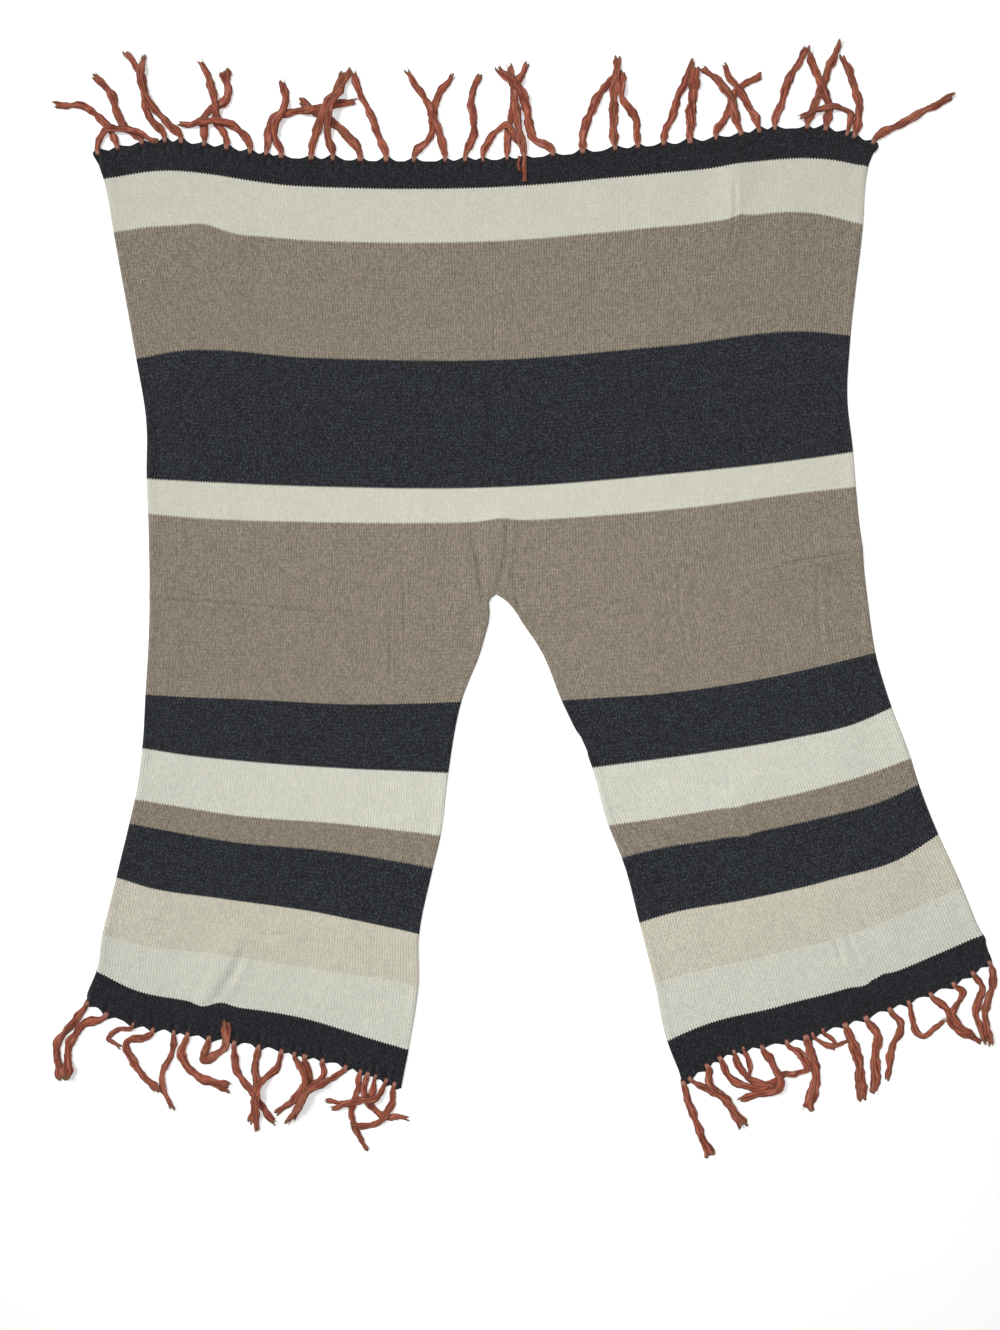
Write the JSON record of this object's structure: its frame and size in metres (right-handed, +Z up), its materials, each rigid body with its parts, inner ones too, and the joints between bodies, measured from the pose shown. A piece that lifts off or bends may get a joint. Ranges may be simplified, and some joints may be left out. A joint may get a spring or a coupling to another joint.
{
  "type": "andean poncho",
  "caption": "Andean striped poncho with an open front, knitted in one from cream, taupe, charcoal and tan wool, with a rust fringe tied along each hem, laid out flat.",
  "frame": {"origin": "on the floor under the middle of the whole outline, fringe included", "axes": "+Z up off the floor, through the cloth's face; +Y from the two front hems to the back hem; +X to the right as the cloth is seen from above"},
  "size_m": [1.444, 1.707, 0.0135],
  "materials": {
    "striped_wool": "matt, soft and slightly hairy stockinette",
    "rust_roving": "matt, loose unspun wool with frayed ends"
  },
  "bodies": {
    "root": {"back": "striped_wool", "front_left": "striped_wool", "front_right": "striped_wool", "fringe_back": "rust_roving", "fringe_front_left": "rust_roving", "fringe_front_right": "rust_roving"}
  },
  "joints": []
}
